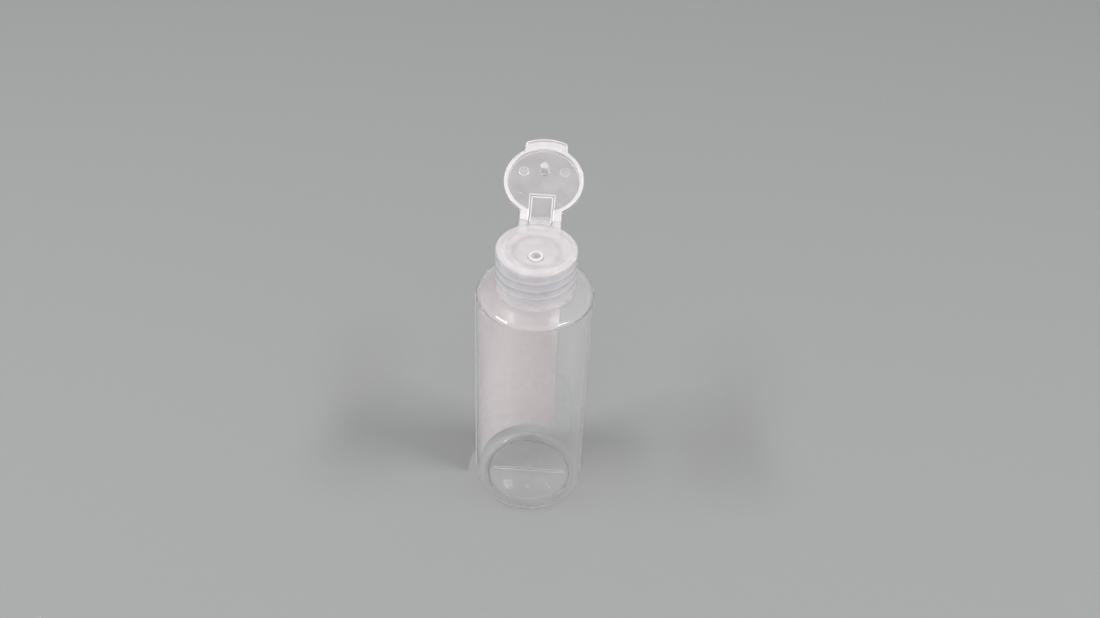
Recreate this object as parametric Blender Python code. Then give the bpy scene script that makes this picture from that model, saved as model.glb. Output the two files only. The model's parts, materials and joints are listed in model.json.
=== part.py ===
# Clear round bottle with a screw-on flip-top closure, its lid standing open.
# Metres, +Z up. The origin is the centre of the foot ring, on the bottle's axis. The lid's hinge is at +Y.

import math

import bpy
import bmesh
from mathutils import Matrix, Vector

# Bottle body
BODY_RADIUS = 0.0175
BODY_WALL = 0.0007
SHOULDER_HEIGHT = 0.0814        # floor to the shoulder's outer edge
SHOULDER_FILLET = 0.0016
SHOULDER_RISE = 0.0009          # from that edge up to the foot of the neck
HEEL_FILLET = 0.0029
FOOT_WIDTH = 0.0012             # flat ring that the bottle stands on
PUSH_UP = 0.0022                # height of the base's centre over the floor
PUSH_UP_EDGE = 0.0012           # height of its edge
PUSH_UP_SLOPE = 0.0008          # width of the slope from the foot ring to that edge
BASE_THICKNESS = 0.0011
SEAM_WIDTH = 0.0006             # pinched seam across the base
SEAM_DEPTH = 0.0004

# Neck
NECK_RADIUS = 0.00885
NECK_WALL = 0.00135
NECK_LENGTH = 0.0118
NECK_FILLET = 0.0008
LIP_FILLET = 0.0003

# Thread, right-handed, on the neck and inside the closure
THREAD_PITCH = 0.00273
THREAD_DEPTH = 0.001
THREAD_ROOT_WIDTH = 0.0015
THREAD_CREST_WIDTH = 0.0006
THREAD_DROP = 0.0012            # lip down to the middle of the thread's upper end
THREAD_TIP_GAP = 0.00035        # closure's thread to the neck's wall
THREAD_SINK = 0.0003            # a ridge's foot in the wall that carries it
NECK_THREAD_TURNS = 2.25
CAP_THREAD_TURNS = 1.5
THREAD_RUNOUT_TURNS = 0.1

# Closure
SKIRT_CLEARANCE = 0.00045       # neck's thread to the skirt's bore
SKIRT_WALL = 0.0016
SKIRT_DRAFT = 0.0002            # the skirt is this much wider at its foot
SKIRT_FOOT_GAP = 0.00063
SKIRT_FOOT_CHAMFER = 0.0004
DECK_THICKNESS = 0.00095
DECK_RADIUS = 0.0096            # edge of the sunk deck
DECK_DEPTH = 0.00032
DECK_SLOPE = 0.0009
CAP_TOP_FILLET = 0.0005
SPIGOT_CLEARANCE = 0.0003       # ring under the deck that enters the mouth
SPIGOT_WALL = 0.0009
SPIGOT_ENGAGEMENT = 0.001

# Sealing ring between the lip and the deck
SEAL_THICKNESS = 0.0006
SEAL_GAP = 0.0003
SEAL_OVERHANG = 0.0002

# Nozzle on the deck
NOZZLE_OFFSET = 0.0036          # in front of the bottle's axis
NOZZLE_FOOT_RADIUS = 0.0024
NOZZLE_TOP_RADIUS = 0.00205
NOZZLE_HEIGHT = 0.0009
NOZZLE_ROUND = 0.0003
ORIFICE_RADIUS = 0.00145
ORIFICE_FLARE = 0.0002

# Hinge of three straps
HINGE_REACH = 0.00276           # hinge axis behind the closure's wall
HINGE_DROP = 0.00109            # and below its top
OPEN_ANGLE = math.radians(156.5)
PLATE_GAP = 0.0001              # each plate's face to the plane of its axis
PLATE_END_GAP = 0.00012
PLATE_THICKNESS = 0.0012
PLATE_TAPER = 0.0009
FILM_THICKNESS = 0.0003
GUSSET_HEIGHT = 0.0026
STRAP_WIDTH = 0.0026
TONGUE_WIDTH = 0.0066
TONGUE_THICKNESS = 0.00065
TONGUE_SIDE_GAP = 0.0003
TONGUE_TIP_GAP = 0.0003
TONGUE_PIVOT_DROP = 0.0005      # tongue's axis below the lid's
TONGUE_INSET = 0.0001           # tongue's face below the lid's outer face
TONGUE_WEB = 0.0008             # thin web at the tongue's free end
TONGUE_KNEE_OFFSET = 0.0005     # knee behind the lid's wall
WINDOW_LENGTH = 0.01006         # hinge axis to the window's far edge
LUG_CLEARANCE = 0.0003

# Lid, given as it lies when shut
LID_PROUD = 0.00022             # lid's radius over the closure's
LID_SEAT_GAP = 0.0001
LID_HEIGHT = 0.002
LID_DISC_THICKNESS = 0.00092
LID_RIM_WALL = 0.00125
LID_TOP_FILLET = 0.0005
LID_INNER_FILLET = 0.0003
LUG_INSET = 0.0001              # lug's underside over the rim's free edge
PIN_LENGTH = 0.0042
PIN_FOOT_RADIUS = 0.0015
PIN_FOOT_LENGTH = 0.0006
PIN_CLEARANCE = 0.0002
PIN_TIP_LENGTH = 0.0007
TAB_REACH = 0.0029
TAB_HALF_WIDTH = 0.0065
TAB_CORNER = 0.0013
TAB_PLATE = 0.0005
TAB_LIP_HEIGHT = 0.00055
TAB_LIP_WIDTH = 0.0006
TAB_DROP = 0.0003               # tab's plate below the lid's outer face

# Label on the back and left
LABEL_START = math.radians(66.5)
LABEL_END = math.radians(186.0)
LABEL_FOOT = 0.0053
LABEL_TOP_MARGIN = 0.0024       # below the shoulder's outer edge
LABEL_THICKNESS = 0.00012
LABEL_GAP = 0.0001

# Overlap given to cutters and to pieces that are joined
OVERRUN = 0.0005
SINK = 0.0002
MERGE_DISTANCE = 0.000001

ROUND_STEPS = 48
ARC_STEPS = 5
SHARP_ANGLE = math.radians(35.0)

# Heights and radii that follow
FOOT_RADIUS = BODY_RADIUS - HEEL_FILLET
SHOULDER_TOP = SHOULDER_HEIGHT + SHOULDER_RISE
LIP_HEIGHT = SHOULDER_TOP + NECK_LENGTH
BORE_RADIUS = NECK_RADIUS - NECK_WALL
SEAL_FOOT = LIP_HEIGHT + SEAL_GAP
DECK_UNDERSIDE = SEAL_FOOT + SEAL_THICKNESS + SEAL_GAP
DECK_FLOOR = DECK_UNDERSIDE + DECK_THICKNESS
CAP_TOP = DECK_FLOOR + DECK_DEPTH
CAP_FOOT = SHOULDER_TOP + SKIRT_FOOT_GAP
SKIRT_BORE = NECK_RADIUS + THREAD_DEPTH + SKIRT_CLEARANCE
CAP_RADIUS = SKIRT_BORE + SKIRT_WALL
SPIGOT_RADIUS = BORE_RADIUS - SPIGOT_CLEARANCE
HINGE_Y = CAP_RADIUS + HINGE_REACH
HINGE_Z = CAP_TOP - HINGE_DROP
LID_RADIUS = CAP_RADIUS + LID_PROUD
LID_EDGE = CAP_TOP + LID_SEAT_GAP
LID_TOP = LID_EDGE + LID_HEIGHT
LID_FLOOR = LID_TOP - LID_DISC_THICKNESS
PIN_RADIUS = ORIFICE_RADIUS - PIN_CLEARANCE
STRAP_INNER = TONGUE_WIDTH / 2 + TONGUE_SIDE_GAP
STRAP_OUTER = STRAP_INNER + STRAP_WIDTH
WINDOW_EDGE = HINGE_Y - WINDOW_LENGTH


def clear_scene():
    for thing in list(bpy.data.objects):
        bpy.data.objects.remove(thing, do_unlink=True)


def plastic(name, colour, roughness, clearness, index):
    """Material of one moulded plastic."""
    resin = bpy.data.materials.new(name)
    resin.use_nodes = True
    shader = resin.node_tree.nodes["Principled BSDF"]
    shader.inputs["Base Color"].default_value = (*colour, 1)
    shader.inputs["Roughness"].default_value = roughness
    shader.inputs["Metallic"].default_value = 0
    shader.inputs["Transmission Weight"].default_value = clearness
    shader.inputs["IOR"].default_value = index
    resin.diffuse_color = (*colour, 1)
    return resin


def new_object(name, bm):
    """Object whose mesh is the bmesh, with its faces turned outward."""
    bmesh.ops.recalc_face_normals(bm, faces=bm.faces)
    mesh = bpy.data.meshes.new(name)
    bm.to_mesh(mesh)
    bm.free()
    thing = bpy.data.objects.new(name, mesh)
    bpy.context.scene.collection.objects.link(thing)
    return thing


def arc(centre, radius, start, end, steps=ARC_STEPS):
    """Points of an arc, angles in degrees, in the plane of an outline."""
    turns = [math.radians(start + (end - start) * i / steps) for i in range(steps + 1)]
    return [(centre[0] + radius * math.cos(t), centre[1] + radius * math.sin(t)) for t in turns]


def turned(name, outline, centre=(0, 0)):
    """Solid of revolution from (radius, height) points: open on the axis, or a closed loop away from it."""
    bm = bmesh.new()
    verts = [bm.verts.new((radius, 0, height)) for radius, height in outline]
    edges = [bm.edges.new(pair) for pair in zip(verts, verts[1:])]
    if outline[0][0] > 0:
        edges.append(bm.edges.new((verts[-1], verts[0])))
    bmesh.ops.spin(bm, geom=verts + edges, cent=(0, 0, 0), axis=(0, 0, 1), angle=math.tau,
                   steps=ROUND_STEPS, use_merge=True, use_duplicate=False)
    bmesh.ops.remove_doubles(bm, verts=bm.verts, dist=MERGE_DISTANCE)
    bmesh.ops.translate(bm, verts=bm.verts, vec=(*centre, 0))
    return new_object(name, bm)


def prism(name, outline, low, high, along="X"):
    """Outline in the YZ plane drawn out along X, or in the XY plane drawn out along Z."""
    bm = bmesh.new()
    if along == "X":
        points, draw = [(low, y, z) for y, z in outline], (high - low, 0, 0)
    else:
        points, draw = [(x, y, low) for x, y in outline], (0, 0, high - low)
    face = bm.faces.new([bm.verts.new(point) for point in points])
    drawn = bmesh.ops.extrude_face_region(bm, geom=[face])["geom"]
    moved = [part for part in drawn if isinstance(part, bmesh.types.BMVert)]
    bmesh.ops.translate(bm, verts=moved, vec=draw)
    return new_object(name, bm)


def combine(body, tool, operation):
    """Joins the tool to the body or cuts it out, and removes the tool."""
    step = body.modifiers.new(operation.lower(), "BOOLEAN")
    step.operation = operation
    step.object = tool
    step.solver = "EXACT"
    graph = bpy.context.evaluated_depsgraph_get()
    result = bpy.data.meshes.new_from_object(body.evaluated_get(graph))
    body.modifiers.clear()
    body.data = result
    bpy.data.objects.remove(tool, do_unlink=True)


def finish(thing, material):
    """Gives the piece its material and shades its round faces smooth."""
    thing.data.materials.clear()
    thing.data.materials.append(material)
    thing.data.shade_smooth()
    thing.data.set_sharp_from_angle(angle=SHARP_ANGLE)


def hang(thing, pivot, angle):
    """Puts the piece's origin on its hinge, at pivot in its mesh, and turns it open about that point."""
    thing.data.transform(Matrix.Translation(-pivot["in_mesh"]))
    thing.location = pivot["in_world"]
    thing.rotation_euler = (-angle, 0, 0)


def thread_ridge(name, wall_radius, depth, top, turns):
    """Helical ridge on a wall, outward for a positive depth, with its upper end at -Y."""
    steps = round(turns * ROUND_STEPS)
    runout = THREAD_RUNOUT_TURNS * ROUND_STEPS
    foot = wall_radius - math.copysign(THREAD_SINK, depth)
    bm = bmesh.new()
    rings = []
    for i in range(steps + 1):
        before_end = (steps - i) / ROUND_STEPS
        angle = -math.pi / 2 - math.tau * before_end
        middle = top - THREAD_PITCH * before_end
        share = min(1, (i + 1) / runout, (steps - i + 1) / runout)
        tip = wall_radius + depth * share
        section = [(foot, -THREAD_ROOT_WIDTH / 2), (tip, -THREAD_CREST_WIDTH / 2),
                   (tip, THREAD_CREST_WIDTH / 2), (foot, THREAD_ROOT_WIDTH / 2)]
        rings.append([bm.verts.new((radius * math.cos(angle), radius * math.sin(angle), middle + offset))
                      for radius, offset in section])
    for low, high in zip(rings, rings[1:]):
        for a, b in ((0, 1), (1, 2), (2, 3), (3, 0)):
            bm.faces.new((low[a], low[b], high[b], high[a]))
    bm.faces.new(rings[0])
    bm.faces.new(rings[-1])
    return new_object(name, bm)


def dome(edge_radius, edge_height, rise, steps):
    """Points of a shallow dome from its edge to its centre."""
    radii = [edge_radius * (1 - i / steps) for i in range(steps + 1)]
    return [(radius, edge_height + rise * (1 - (radius / edge_radius) ** 2)) for radius in radii]


def make_bottle(material):
    """Bottle shell: base with a push-up, wall, shoulder, and neck with its thread."""
    foot_inner = FOOT_RADIUS - FOOT_WIDTH
    push_up_radius = foot_inner - PUSH_UP_SLOPE
    shoulder_arc = (BODY_RADIUS - SHOULDER_FILLET, SHOULDER_HEIGHT - SHOULDER_FILLET)
    heel_arc = (FOOT_RADIUS, HEEL_FILLET)
    neck_arc = (NECK_RADIUS + NECK_FILLET, SHOULDER_TOP + NECK_FILLET)
    crown = PUSH_UP - PUSH_UP_EDGE
    slant = 90 - math.degrees(math.atan2(SHOULDER_RISE, shoulder_arc[0] - neck_arc[0]))
    outline = dome(push_up_radius, PUSH_UP_EDGE, crown, ARC_STEPS)[::-1]
    outline += [(foot_inner, 0)]
    outline += arc(heel_arc, HEEL_FILLET, -90, 0)
    outline += arc(shoulder_arc, SHOULDER_FILLET, 0, slant)
    outline += arc(neck_arc, NECK_FILLET, -90, -180, 3)
    outline += arc((NECK_RADIUS - LIP_FILLET, LIP_HEIGHT - LIP_FILLET), LIP_FILLET, 0, 90, 3)
    outline += arc((BORE_RADIUS + LIP_FILLET, LIP_HEIGHT - LIP_FILLET), LIP_FILLET, 90, 180, 3)
    inner_neck_arc = (BORE_RADIUS + NECK_FILLET, SHOULDER_TOP + NECK_FILLET - BODY_WALL)
    outline += arc(inner_neck_arc, NECK_FILLET, 180, 270, 3)
    outline += arc(shoulder_arc, SHOULDER_FILLET - BODY_WALL, slant, 0)
    outline += arc(heel_arc, HEEL_FILLET - BODY_WALL, 0, -90)
    outline += [(foot_inner, BODY_WALL)]
    outline += dome(push_up_radius, PUSH_UP_EDGE + BASE_THICKNESS, crown, ARC_STEPS)
    bottle = turned("bottle", outline)
    ridge = thread_ridge("thread", NECK_RADIUS, THREAD_DEPTH, LIP_HEIGHT - THREAD_DROP, NECK_THREAD_TURNS)
    combine(bottle, ridge, "UNION")
    seam_half = push_up_radius - PUSH_UP_SLOPE
    seam_foot = PUSH_UP_EDGE - SEAM_DEPTH
    seam_outline = [(-SEAM_WIDTH / 2, seam_foot), (SEAM_WIDTH / 2, seam_foot),
                    (SEAM_WIDTH / 2, PUSH_UP), (-SEAM_WIDTH / 2, PUSH_UP)]
    combine(bottle, prism("seam", seam_outline, -seam_half, seam_half), "UNION")
    finish(bottle, material)


def make_label(material):
    """Plain label wrapped on the bottle's wall."""
    inner = BODY_RADIUS + LABEL_GAP
    outer = inner + LABEL_THICKNESS
    top = SHOULDER_HEIGHT - LABEL_TOP_MARGIN
    steps = round(ROUND_STEPS * (LABEL_END - LABEL_START) / math.tau)
    start, end = math.degrees(LABEL_START), math.degrees(LABEL_END)
    outline = arc((0, 0), outer, start, end, steps) + arc((0, 0), inner, end, start, steps)
    finish(prism("back_label", outline, LABEL_FOOT, top, "Z"), material)


def make_sealing_ring(material):
    """Flat ring that the closure presses on the lip."""
    inner = SPIGOT_RADIUS + SEAL_GAP
    outer = NECK_RADIUS + SEAL_OVERHANG
    top = SEAL_FOOT + SEAL_THICKNESS
    outline = [(inner, SEAL_FOOT), (outer, SEAL_FOOT), (outer, top), (inner, top)]
    finish(turned("sealing_ring", outline), material)


def wall_root(outer_radius, inner_radius, near, far):
    """Distance back from the axis that lies inside a round wall all the way between two places across it."""
    return (math.sqrt(outer_radius**2 - far**2) + math.sqrt(inner_radius**2 - near**2)) / 2


def hinge_plate(name, axis_z, near, far, low, high):
    """Plate and gusset that carry one strap of the hinge, behind the closure's wall."""
    root = wall_root(CAP_RADIUS, SKIRT_BORE, near, far)
    top = axis_z - PLATE_GAP
    end = HINGE_Y - PLATE_END_GAP
    foot = top - PLATE_THICKNESS
    outline = [(root, top), (end, top), (end, top - FILM_THICKNESS), (end - PLATE_TAPER, foot),
               (root, foot - GUSSET_HEIGHT)]
    return prism(name, outline, low, high)


def make_cap_base(material):
    """Closure's body: skirt, sunk deck, nozzle, thread, spigot and the three plates of the hinge."""
    foot_radius = CAP_RADIUS + SKIRT_DRAFT
    spigot_foot = LIP_HEIGHT - SPIGOT_ENGAGEMENT
    spigot_bore = SPIGOT_RADIUS - SPIGOT_WALL
    outline = [(0, DECK_FLOOR), (DECK_RADIUS - DECK_SLOPE, DECK_FLOOR), (DECK_RADIUS, CAP_TOP)]
    outline += arc((CAP_RADIUS - CAP_TOP_FILLET, CAP_TOP - CAP_TOP_FILLET), CAP_TOP_FILLET, 90, 0)
    outline += [(foot_radius, CAP_FOOT), (SKIRT_BORE + SKIRT_FOOT_CHAMFER, CAP_FOOT),
                (SKIRT_BORE, CAP_FOOT + SKIRT_FOOT_CHAMFER), (SKIRT_BORE, DECK_UNDERSIDE),
                (SPIGOT_RADIUS, DECK_UNDERSIDE), (SPIGOT_RADIUS, spigot_foot), (spigot_bore, spigot_foot),
                (spigot_bore, DECK_UNDERSIDE), (0, DECK_UNDERSIDE)]
    cap = turned("cap_base", outline)

    tip = NECK_RADIUS + THREAD_TIP_GAP
    thread_top = LIP_HEIGHT - THREAD_DROP - THREAD_PITCH / 2
    combine(cap, thread_ridge("thread", SKIRT_BORE, tip - SKIRT_BORE, thread_top, CAP_THREAD_TURNS), "UNION")

    nozzle_top = DECK_FLOOR + NOZZLE_HEIGHT
    nozzle_foot = DECK_FLOOR - SINK
    crown = [(0, nozzle_foot), (NOZZLE_FOOT_RADIUS, nozzle_foot), (NOZZLE_FOOT_RADIUS, DECK_FLOOR)]
    crown += arc((NOZZLE_TOP_RADIUS - NOZZLE_ROUND, nozzle_top - NOZZLE_ROUND), NOZZLE_ROUND, 15, 90, 4)
    crown += [(0, nozzle_top)]
    combine(cap, turned("nozzle", crown, (0, -NOZZLE_OFFSET)), "UNION")
    flare_radius = ORIFICE_RADIUS + ORIFICE_FLARE
    bore = [(0, DECK_UNDERSIDE - OVERRUN), (ORIFICE_RADIUS, DECK_UNDERSIDE - OVERRUN),
            (ORIFICE_RADIUS, nozzle_top - ORIFICE_FLARE), (flare_radius, nozzle_top),
            (flare_radius, nozzle_top + OVERRUN), (0, nozzle_top + OVERRUN)]
    combine(cap, turned("orifice", bore, (0, -NOZZLE_OFFSET)), "DIFFERENCE")

    half = TONGUE_WIDTH / 2
    for low, high in ((-STRAP_OUTER, -STRAP_INNER), (STRAP_INNER, STRAP_OUTER)):
        combine(cap, hinge_plate("plate", HINGE_Z, STRAP_INNER, STRAP_OUTER, low, high), "UNION")
    combine(cap, hinge_plate("plate", HINGE_Z - TONGUE_PIVOT_DROP, 0, half, -half, half), "UNION")
    finish(cap, material)


def tab_outline(inset):
    """Thumb tab from above: an arc about the lid's centre with rounded corners."""
    reach = LID_RADIUS + TAB_REACH - inset
    half = TAB_HALF_WIDTH - inset
    corner = TAB_CORNER - inset
    corner_x = half - corner
    corner_y = -math.sqrt((reach - corner) ** 2 - corner_x**2)
    swing = math.degrees(math.atan2(corner_y, corner_x))
    root = -math.sqrt(LID_RADIUS**2 - TAB_HALF_WIDTH**2) + SINK
    outline = arc((-corner_x, corner_y), corner, 180, 180 - swing, 4)
    outline += arc((0, 0), reach, -180 - swing, swing, 8)[1:-1]
    outline += arc((corner_x, corner_y), corner, swing, 0, 4)
    return outline + [(half, root), (-half, root)]


def lid_lug(name, low, high):
    """Lug from the lid's wall down and back to the hinge axis."""
    root = wall_root(LID_RADIUS, LID_RADIUS - LID_RIM_WALL, STRAP_INNER, STRAP_OUTER)
    face = HINGE_Z + PLATE_GAP
    end = HINGE_Y - PLATE_END_GAP
    inner = CAP_RADIUS + LUG_CLEARANCE
    underside = LID_EDGE + LUG_INSET
    top = LID_TOP - LID_TOP_FILLET
    outline = [(root, underside), (inner, underside), (inner, face), (end, face),
               (end, face + FILM_THICKNESS), (end - PLATE_TAPER, face + PLATE_THICKNESS),
               (LID_RADIUS, top), (root, top)]
    return prism(name, outline, low, high)


def make_lid(material):
    """Lid: dished disc with a window, hinge lugs, thumb tab and the pin that closes the nozzle."""
    inner_radius = LID_RADIUS - LID_RIM_WALL
    outline = [(0, LID_TOP)]
    outline += arc((LID_RADIUS - LID_TOP_FILLET, LID_TOP - LID_TOP_FILLET), LID_TOP_FILLET, 90, 0, 4)
    outline += [(LID_RADIUS, LID_EDGE), (inner_radius, LID_EDGE)]
    corner = (inner_radius - LID_INNER_FILLET, LID_FLOOR - LID_INNER_FILLET)
    outline += arc(corner, LID_INNER_FILLET, 0, 90, 3)
    outline += [(0, LID_FLOOR)]
    lid = turned("lid", outline)

    for low, high in ((-STRAP_OUTER, -STRAP_INNER), (STRAP_INNER, STRAP_OUTER)):
        combine(lid, lid_lug("lug", low, high), "UNION")
    window = [(WINDOW_EDGE, LID_EDGE - OVERRUN), (HINGE_Y, LID_EDGE - OVERRUN),
              (HINGE_Y, LID_TOP + OVERRUN), (WINDOW_EDGE, LID_TOP + OVERRUN)]
    combine(lid, prism("window", window, -STRAP_INNER, STRAP_INNER), "DIFFERENCE")

    plate_top = LID_TOP - TAB_DROP
    plate_foot = plate_top - TAB_PLATE
    lip_foot = plate_foot - TAB_LIP_HEIGHT
    tab = prism("tab", tab_outline(0), lip_foot, plate_top, "Z")
    pocket = prism("pocket", tab_outline(TAB_LIP_WIDTH), lip_foot - OVERRUN, plate_foot, "Z")
    combine(tab, pocket, "DIFFERENCE")
    combine(lid, tab, "UNION")

    pin_foot = LID_FLOOR - PIN_FOOT_LENGTH
    pin_end = LID_FLOOR - PIN_LENGTH
    pin = [(0, LID_FLOOR + SINK), (PIN_FOOT_RADIUS, LID_FLOOR + SINK), (PIN_FOOT_RADIUS, pin_foot),
           (PIN_RADIUS, pin_foot - PIN_FOOT_LENGTH / 2)]
    pin += dome(PIN_RADIUS, pin_end + PIN_TIP_LENGTH, -PIN_TIP_LENGTH, 4)
    combine(lid, turned("pin", pin, (0, -NOZZLE_OFFSET)), "UNION")

    axis = Vector((0, HINGE_Y, HINGE_Z))
    hang(lid, {"in_mesh": axis, "in_world": axis}, OPEN_ANGLE)
    finish(lid, material)


def make_hinge_tongue(material):
    """Snap tongue that lies in the lid's window and turns on an axis just below the lid's."""
    axis = Vector((0, HINGE_Y, HINGE_Z))
    pivot = axis - Vector((0, 0, TONGUE_PIVOT_DROP))
    shut_pivot = axis + Matrix.Rotation(OPEN_ANGLE, 3, "X") @ (pivot - axis)
    outer = LID_TOP - TONGUE_INSET
    inner = outer - TONGUE_THICKNESS
    tip = WINDOW_EDGE + TONGUE_TIP_GAP
    knee = Vector((LID_RADIUS + TONGUE_KNEE_OFFSET, (outer + inner) / 2))
    root = Vector((shut_pivot.y, shut_pivot.z))
    slope = (root - knee).normalized()
    across = Vector((-slope.y, slope.x)) * TONGUE_THICKNESS / 2
    end = root - slope * PLATE_END_GAP
    shoulder = end - slope * PLATE_TAPER / 2 - across
    web_foot = outer - FILM_THICKNESS
    outline = [(tip, outer), (tip, web_foot), (tip + TONGUE_WEB, web_foot), (tip + TONGUE_WEB, inner),
               (knee.x - across.x / 2, inner), tuple(shoulder), tuple(end), tuple(end + across),
               (knee.x + across.x / 2, outer)]
    half = TONGUE_WIDTH / 2
    tongue = prism("hinge_tongue", outline, -half, half)
    hang(tongue, {"in_mesh": shut_pivot, "in_world": pivot}, OPEN_ANGLE)
    finish(tongue, material)


def main():
    clear_scene()
    clear_resin = plastic("clear_resin", (0.95, 0.97, 0.96), 0.05, 1.0, 1.57)
    cap_resin = plastic("cap_resin", (0.90, 0.91, 0.89), 0.30, 0.6, 1.49)
    lid_resin = plastic("lid_resin", (0.90, 0.91, 0.89), 0.30, 0.6, 1.49)
    tongue_resin = plastic("tongue_resin", (0.88, 0.92, 0.89), 0.25, 0.7, 1.49)
    ring_resin = plastic("ring_resin", (0.92, 0.93, 0.92), 0.35, 0.5, 1.50)
    label_film = plastic("label_film", (0.82, 0.80, 0.80), 0.55, 0.0, 1.45)
    make_bottle(clear_resin)
    make_label(label_film)
    make_sealing_ring(ring_resin)
    make_cap_base(cap_resin)
    make_lid(lid_resin)
    make_hinge_tongue(tongue_resin)


main()
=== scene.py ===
import json
import math

import bmesh
import bpy
from mathutils import Matrix, Vector


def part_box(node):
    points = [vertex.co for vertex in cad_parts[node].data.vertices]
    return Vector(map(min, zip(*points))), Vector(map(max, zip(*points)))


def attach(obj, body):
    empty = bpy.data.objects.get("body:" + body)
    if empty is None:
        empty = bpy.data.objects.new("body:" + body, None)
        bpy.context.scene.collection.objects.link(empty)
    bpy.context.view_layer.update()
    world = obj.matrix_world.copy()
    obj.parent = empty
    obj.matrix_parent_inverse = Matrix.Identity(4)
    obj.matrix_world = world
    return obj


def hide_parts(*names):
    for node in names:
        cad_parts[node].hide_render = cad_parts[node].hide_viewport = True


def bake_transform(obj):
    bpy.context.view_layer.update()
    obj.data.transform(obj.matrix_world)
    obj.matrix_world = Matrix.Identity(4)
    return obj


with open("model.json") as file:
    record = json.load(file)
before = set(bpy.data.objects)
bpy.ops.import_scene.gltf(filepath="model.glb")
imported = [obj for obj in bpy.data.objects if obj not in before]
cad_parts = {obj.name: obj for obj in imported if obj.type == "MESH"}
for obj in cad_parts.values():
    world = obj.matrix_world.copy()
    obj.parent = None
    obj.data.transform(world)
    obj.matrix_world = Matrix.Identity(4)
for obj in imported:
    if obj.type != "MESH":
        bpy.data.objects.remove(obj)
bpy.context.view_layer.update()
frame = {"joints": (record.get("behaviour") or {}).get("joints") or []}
print("frame loaded")

mm = 0.001
mergeDistance = 0.001 * mm
overshoot = 0.5 * mm              # how far a cutting shape reaches past what it cuts
smoothAngle = math.radians(32)
faceWeight = 80                   # how strongly large faces rule the shading beside rounded edges

# places that the frame gives
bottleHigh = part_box("bottle")[1]
neckTop = bottleHigh.z
capLow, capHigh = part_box("cap_base")
labelLow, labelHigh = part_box("back_label")
ringLow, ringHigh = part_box("sealing_ring")
joints = {joint["name"]: joint for joint in frame["joints"]}
lidAxis = Vector(joints["lid_hinge"]["pos_m"])
tongueAxis = Vector(joints["tongue_flex"]["pos_m"])
openAngle = math.radians(joints["lid_hinge"]["range_deg"][1])

# turns a piece of the lid from where it lies when shut to where it stands at rest
opened = Matrix.Translation(lidAxis) @ Matrix.Rotation(-openAngle, 4, "X") @ Matrix.Translation(-lidAxis)


def arcPoints(centre, radius, start, end, count):
    # points on an arc, from one angle in degrees to the other
    turns = [math.radians(start + (end - start) * i / count) for i in range(count + 1)]
    return [(centre[0] + radius * math.cos(t), centre[1] + radius * math.sin(t)) for t in turns]


def rounded(corner, radius, start, end, count):
    # the quarter arc that rounds a square corner
    turns = math.radians(start), math.radians(end)
    across = round(math.cos(turns[0]) + math.cos(turns[1]))
    up = round(math.sin(turns[0]) + math.sin(turns[1]))
    return arcPoints((corner[0] - radius * across, corner[1] - radius * up), radius, start, end, count)


def block(left, right, low, high):
    return [(left, low), (right, low), (right, high), (left, high)]


def spun(outline, steps, centre=(0, 0)):
    # a turned solid: the outline starts and ends on the axis, or is a loop away from it
    work = bmesh.new()
    verts = [work.verts.new((radius, 0, height)) for radius, height in outline]
    edges = [work.edges.new(pair) for pair in zip(verts, verts[1:])]
    if outline[0][0] > 0:
        edges.append(work.edges.new((verts[-1], verts[0])))
    bmesh.ops.spin(work, geom=verts + edges, cent=(0, 0, 0), axis=(0, 0, 1), angle=math.tau,
                   steps=steps, use_merge=True, use_duplicate=False)
    bmesh.ops.remove_doubles(work, verts=work.verts, dist=mergeDistance)
    bmesh.ops.translate(work, verts=work.verts, vec=(*centre, 0))
    bmesh.ops.recalc_face_normals(work, faces=work.faces)
    return work


def drawn(outline, low, high, along="x", edge=0):
    # a flat outline drawn out along x or z, its edges broken by a small bevel
    work = bmesh.new()
    if along == "x":
        verts = [work.verts.new((low, y, z)) for y, z in outline]
        reach = (high - low, 0, 0)
    else:
        verts = [work.verts.new((x, y, low)) for x, y in outline]
        reach = (0, 0, high - low)
    face = work.faces.new(verts)
    out = bmesh.ops.extrude_face_region(work, geom=[face])["geom"]
    moved = [part for part in out if isinstance(part, bmesh.types.BMVert)]
    bmesh.ops.translate(work, verts=moved, vec=reach)
    bmesh.ops.recalc_face_normals(work, faces=work.faces)
    if edge:
        sharp = [line for line in work.edges if line.calc_face_angle() > smoothAngle]
        bmesh.ops.bevel(work, geom=sharp, offset=edge, affect="EDGES", segments=2,
                        profile=0.5, material=-1, clamp_overlap=True)
    return work


def flatBall(radius, flatness, place, segments):
    # a flattened ball, half sunk into the face that it stands on
    work = bmesh.new()
    bmesh.ops.create_uvsphere(work, u_segments=segments, v_segments=segments // 2, radius=radius)
    bmesh.ops.scale(work, verts=work.verts, vec=(1, 1, flatness))
    bmesh.ops.translate(work, verts=work.verts, vec=place)
    return work


def gathered(*parts):
    # several closed shapes in one bmesh
    whole = bmesh.new()
    for part in parts:
        step = bpy.data.meshes.new("step")
        part.to_mesh(step)
        part.free()
        whole.from_mesh(step)
        bpy.data.meshes.remove(step)
    return whole


def newObject(name, work):
    mesh = bpy.data.meshes.new(name)
    work.to_mesh(mesh)
    work.free()
    thing = bpy.data.objects.new(name, mesh)
    bpy.context.scene.collection.objects.link(thing)
    return thing


def applyStep(thing):
    # what the modifier gives becomes the object's own mesh
    graph = bpy.context.evaluated_depsgraph_get()
    result = bpy.data.meshes.new_from_object(thing.evaluated_get(graph))
    thing.modifiers.clear()
    thing.data = result


def combine(thing, work, operation):
    tool = newObject("tool", work)
    step = thing.modifiers.new("step", "BOOLEAN")
    step.operation = operation
    step.object = tool
    step.solver = "EXACT"
    applyStep(thing)
    bpy.data.objects.remove(tool, do_unlink=True)


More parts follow.
